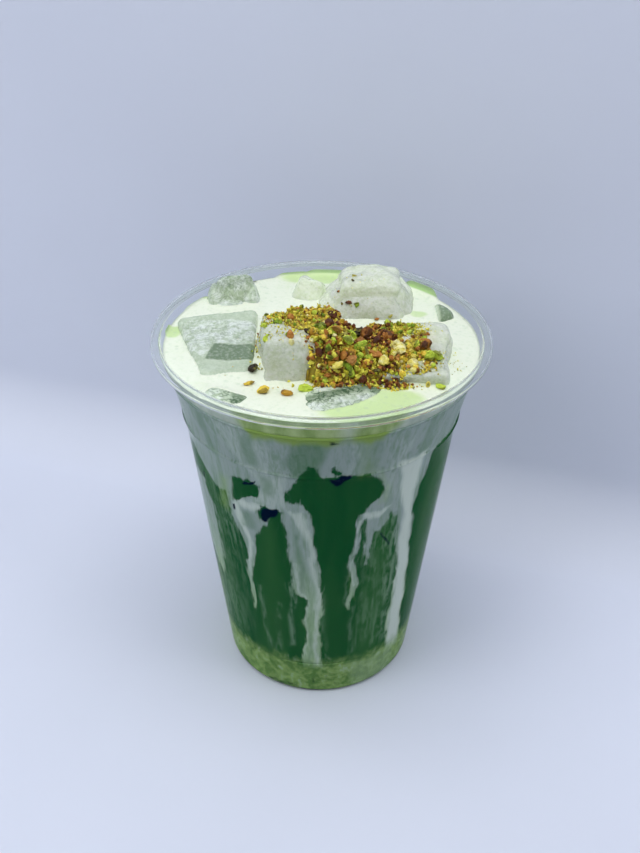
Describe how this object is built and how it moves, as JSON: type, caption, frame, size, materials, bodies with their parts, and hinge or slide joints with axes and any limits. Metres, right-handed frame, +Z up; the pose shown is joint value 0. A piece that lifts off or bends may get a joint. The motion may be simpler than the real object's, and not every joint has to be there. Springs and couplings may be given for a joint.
{
  "type": "iced matcha latte in a clear cup",
  "caption": "Iced matcha latte in a clear plastic cup with a rolled lip: layered green and milky drink, floating ice and a heap of crushed pistachio.",
  "frame": {"origin": "centre of the ring that the cup stands on", "axes": "+Z up along the cup's axis, -Y towards the front"},
  "size_m": [0.098, 0.098, 0.1285],
  "materials": {
    "cup_plastic": "clear gloss plastic",
    "mixed_layer": "milky liquid",
    "matcha": "dark green liquid",
    "milk": "milky liquid",
    "foam": "milk foam",
    "ice": "frosted ice",
    "pistachio": "crushed nuts"
  },
  "bodies": {
    "root": {"cup": "cup_plastic", "base_layer": "mixed_layer", "matcha_layer": "matcha", "milk_layer": "milk", "milk_foam": "foam", "ice_left": "ice", "ice_back_left": "ice", "ice_centre": "ice", "ice_peak": "ice", "ice_back_right": "ice", "ice_right": "ice", "ice_right_centre": "ice", "ice_front": "ice", "ice_front_left": "ice", "pistachio_heap": "pistachio"}
  },
  "joints": []
}
